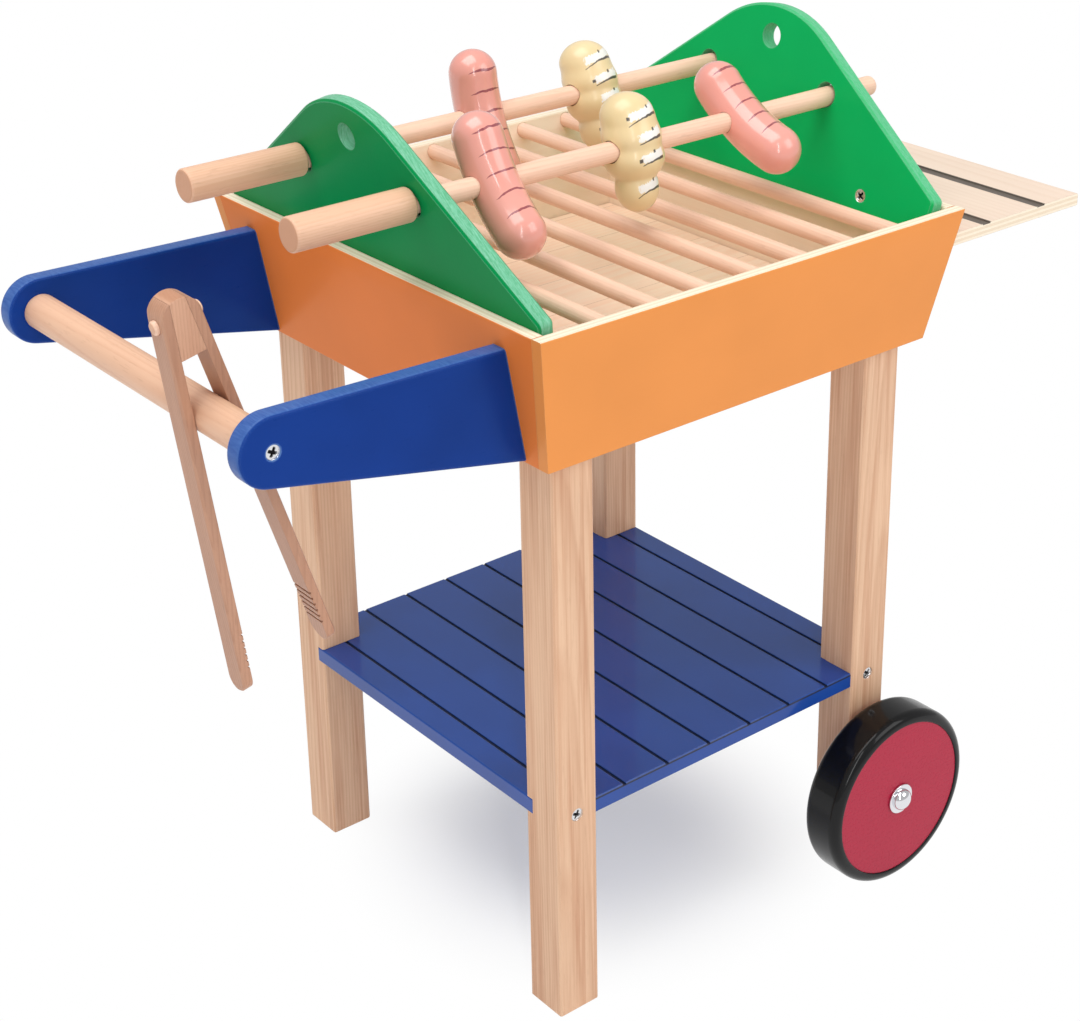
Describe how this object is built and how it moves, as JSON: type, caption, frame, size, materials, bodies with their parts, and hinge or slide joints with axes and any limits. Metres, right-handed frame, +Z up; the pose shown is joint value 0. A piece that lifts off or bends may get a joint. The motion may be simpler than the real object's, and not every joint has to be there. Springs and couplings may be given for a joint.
{
  "type": "toy barbecue grill",
  "caption": "Wooden toy barbecue on wheels: hopper tray with a dowel grate, turning spits with pretend food, push handle with hanging tongs, side shelf and lower shelf.",
  "frame": {"origin": "on the floor, in the middle of the whole grill's length and width, tongs and side shelf included", "axes": "+X from the push handle to the side shelf, -Y the front, towards the viewer's right in the picture, +Z up"},
  "size_m": [0.6204, 0.3662, 0.5592],
  "materials": {
    "pine": "bare pine, clear satin",
    "beech": "bare beech dowel, fine sanded",
    "plywood": "bare birch plywood",
    "blue_paint": "blue satin paint on wood",
    "green_paint": "green satin paint on plywood",
    "orange_paint": "orange satin paint on plywood",
    "sausage_paint": "reddish satin paint on turned wood",
    "snack_paint": "pale yellow satin paint on turned wood",
    "disc_paint": "crimson satin paint on wood",
    "tyre_rubber": "black smooth",
    "chrome": "polished",
    "zinc": "bright zinc plated"
  },
  "bodies": {
    "grill": {"leg_handle_front": "pine", "leg_handle_back": "pine", "leg_wheel_front": "pine", "leg_wheel_back": "pine", "lower_shelf": "blue_paint", "shelf_screws": "zinc", "tray_board_front": "orange_paint", "tray_board_back": "orange_paint", "tray_board_handle_end": "orange_paint", "tray_board_shelf_end": "orange_paint", "tray_floor": "pine", "tray_floor_screws": "zinc", "grate_rod_1": "beech", "grate_rod_2": "beech", "grate_rod_3": "beech", "grate_rod_4": "beech", "grate_rod_5": "beech", "grate_rod_6": "beech", "grate_rod_7": "beech", "handle_arm_front": "blue_paint", "handle_arm_back": "blue_paint", "arm_screws": "zinc", "handle_bar": "beech", "handle_screws": "zinc", "spit_panel_handle_end": "green_paint", "spit_panel_shelf_end": "green_paint", "panel_screws": "zinc", "side_shelf": "plywood", "side_shelf_screws": "zinc", "axle_pin_front": "zinc", "axle_pin_back": "zinc", "axle_cap_front": "chrome", "axle_cap_back": "chrome"},
    "wheel_front": {"tyre_front": "tyre_rubber", "wheel_disc_front": "disc_paint"},
    "wheel_back": {"tyre_back": "tyre_rubber", "wheel_disc_back": "disc_paint"},
    "spit_front": {"spit_rod_front": "beech", "spit_grip_front": "beech"},
    "spit_back": {"spit_rod_back": "beech", "spit_grip_back": "beech"},
    "sausage_1": {"sausage_1": "sausage_paint"},
    "snack_front": {"snack_front": "snack_paint"},
    "sausage_3": {"sausage_3": "sausage_paint"},
    "sausage_2": {"sausage_2": "sausage_paint"},
    "snack_back": {"snack_back": "snack_paint"},
    "tongs": {"tongs_arm_outer": "beech", "tongs_arm_inner": "beech", "tongs_block": "beech", "tongs_pin": "beech"}
  },
  "joints": [
    {"name": "wheel_front_spin", "type": "hinge", "parent": "grill", "child": "wheel_front", "pos_m": [0.14687, -0.158, 0.062], "axis": [0, 1, 0], "continuous": true},
    {"name": "wheel_back_spin", "type": "hinge", "parent": "grill", "child": "wheel_back", "pos_m": [0.14687, 0.158, 0.062], "axis": [0, 1, 0], "continuous": true},
    {"name": "spit_front_turn", "type": "hinge", "parent": "grill", "child": "spit_front", "pos_m": [0.0232, -0.0545, 0.511], "axis": [1, 0, 0], "continuous": true},
    {"name": "spit_back_turn", "type": "hinge", "parent": "grill", "child": "spit_back", "pos_m": [0.0232, 0.0545, 0.511], "axis": [1, 0, 0], "continuous": true},
    {"name": "sausage_1_slide", "type": "slide", "parent": "spit_front", "child": "sausage_1", "axis": [1, 0, 0], "range_m": [-0.0235, 0.0345]},
    {"name": "snack_front_slide", "type": "slide", "parent": "spit_front", "child": "snack_front", "axis": [1, 0, 0], "range_m": [-0.0345, 0.0265]},
    {"name": "sausage_3_slide", "type": "slide", "parent": "spit_front", "child": "sausage_3", "axis": [1, 0, 0], "range_m": [-0.0265, 0.049]},
    {"name": "sausage_2_slide", "type": "slide", "parent": "spit_back", "child": "sausage_2", "axis": [1, 0, 0], "range_m": [-0.094, 0.0275]},
    {"name": "snack_back_slide", "type": "slide", "parent": "spit_back", "child": "snack_back", "axis": [1, 0, 0], "range_m": [-0.0275, 0.078]},
    {"name": "tongs_lift", "type": "slide", "parent": "grill", "child": "tongs", "axis": [-0.2164, 0, 0.9763], "range_m": [0, 0.2]}
  ]
}
